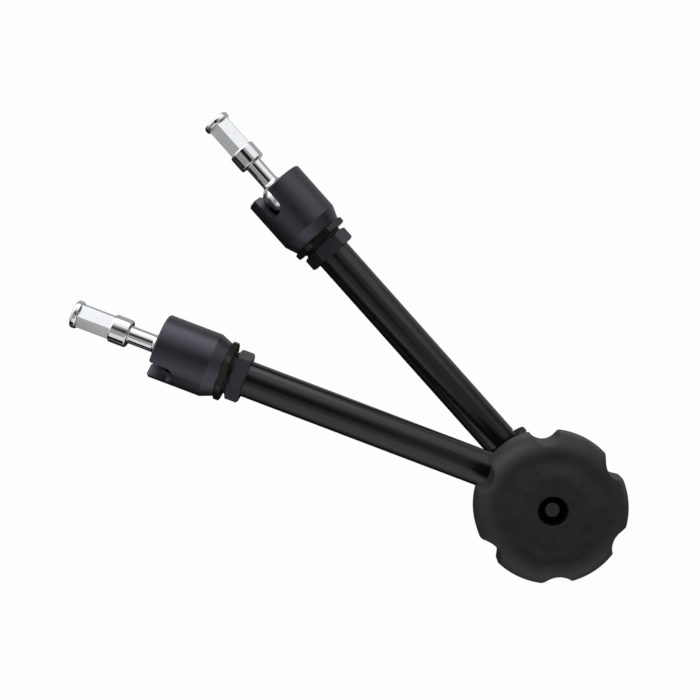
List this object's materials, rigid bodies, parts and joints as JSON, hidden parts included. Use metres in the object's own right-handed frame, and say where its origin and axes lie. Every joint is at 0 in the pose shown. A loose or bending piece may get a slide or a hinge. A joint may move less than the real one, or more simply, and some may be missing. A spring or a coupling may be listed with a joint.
{
  "type": "articulating friction arm",
  "caption": "Articulating friction arm: two tubes hinged at an elbow that one big star knob locks, with a slotted ball joint and a spigot at each end.",
  "frame": {"origin": "on the front spigot's axis, in the middle of its collar", "axes": "+X along the front spigot, pointing out of the arm; +Z along the elbow pivot, towards the knob"},
  "size_m": [0.3165, 0.1744, 0.1105],
  "materials": {
    "polished_chrome": "polished chrome plate on steel",
    "black_anodised": "satin black anodised",
    "black_oxide": "black oxide on turned steel",
    "black_casting": "satin black coated aluminium casting",
    "plated_steel": "zinc plated",
    "ground_steel": "ground and hardened",
    "bronze": "machined bearing bronze",
    "knob_plastic": "moulded, fine matt grain",
    "friction_fibre": "bonded friction fibre"
  },
  "bodies": {
    "front_stud": {"front_spigot": "polished_chrome"},
    "front_swivel_ball": {"front_ball": "polished_chrome"},
    "front_arm": {"front_socket": "black_anodised", "front_jam_nut": "black_oxide", "front_end_fitting": "black_anodised", "front_tube": "black_anodised", "front_rod_bush": "bronze", "front_lock_nut": "plated_steel", "front_elbow_half": "black_casting", "pivot_bush": "bronze", "friction_disc": "friction_fibre"},
    "front_plunger": {"front_push_rod": "ground_steel", "front_ball_seat": "bronze"},
    "clamp_push": {"thrust_washer": "bronze", "front_cone": "ground_steel"},
    "clamp_knob": {"knob": "knob_plastic", "knob_hub": "plated_steel"},
    "clamp_pull": {"clamp_bolt": "plated_steel", "rear_cone": "ground_steel"},
    "rear_arm": {"rear_socket": "black_anodised", "rear_jam_nut": "black_oxide", "rear_end_fitting": "black_anodised", "rear_tube": "black_anodised", "rear_rod_bush": "bronze", "rear_lock_nut": "plated_steel", "rear_elbow_half": "black_casting", "rear_cap": "black_casting"},
    "rear_plunger": {"rear_push_rod": "ground_steel", "rear_ball_seat": "bronze"},
    "rear_swivel_ball": {"rear_ball": "polished_chrome"},
    "rear_stud": {"rear_spigot": "polished_chrome"}
  },
  "joints": [
    {"name": "front_swivel", "type": "hinge", "parent": "front_stud", "child": "front_swivel_ball", "pos_m": [-0.03075, 0, 0], "axis": [1, 0, 0], "continuous": true},
    {"name": "front_tilt", "type": "hinge", "parent": "front_swivel_ball", "child": "front_arm", "pos_m": [-0.03075, 0, 0], "axis": [0, -0.7314, 0.682], "range_deg": [-90, 25]},
    {"name": "elbow", "type": "hinge", "parent": "front_arm", "child": "rear_arm", "pos_m": [-0.24895, 0, -0.017], "axis": [0, 0, 1], "range_deg": [-324, 19]},
    {"name": "rear_tilt", "type": "hinge", "parent": "rear_arm", "child": "rear_swivel_ball", "pos_m": [-0.0554, -0.10075, -0.034], "axis": [0.4114, 0.7903, -0.454], "range_deg": [-90, 25]},
    {"name": "rear_swivel", "type": "hinge", "parent": "rear_swivel_ball", "child": "rear_stud", "pos_m": [-0.0554, -0.10075, -0.034], "axis": [0.887, -0.4617, 0], "continuous": true},
    {"name": "clamp_push_travel", "type": "slide", "parent": "front_arm", "child": "clamp_push", "axis": [0, 0, 1], "range_m": [0, 0.000626]},
    {"name": "knob_turn", "type": "hinge", "parent": "clamp_push", "child": "clamp_knob", "pos_m": [-0.24895, 0, 0.03], "axis": [0, 0, 1], "range_deg": [0, 360]},
    {"name": "clamp_pull_travel", "type": "slide", "parent": "front_arm", "child": "clamp_pull", "axis": [0, 0, -1], "range_m": [0, 0.000626]},
    {"name": "front_plunger_travel", "type": "slide", "parent": "front_arm", "child": "front_plunger", "axis": [-1, 0, 0], "range_m": [0, 0.00016]},
    {"name": "rear_plunger_travel", "type": "slide", "parent": "rear_arm", "child": "rear_plunger", "axis": [-0.887, 0.4617, 0], "range_m": [0, 0.00016]}
  ],
  "couplings": [
    {"joint": "clamp_push_travel", "follows": "knob_turn", "m_per_rad": 0.000099472},
    {"joint": "clamp_pull_travel", "follows": "knob_turn", "m_per_rad": 0.000099472},
    {"joint": "front_plunger_travel", "follows": "knob_turn", "m_per_rad": 0.000024801},
    {"joint": "rear_plunger_travel", "follows": "knob_turn", "m_per_rad": 0.000024801}
  ]
}
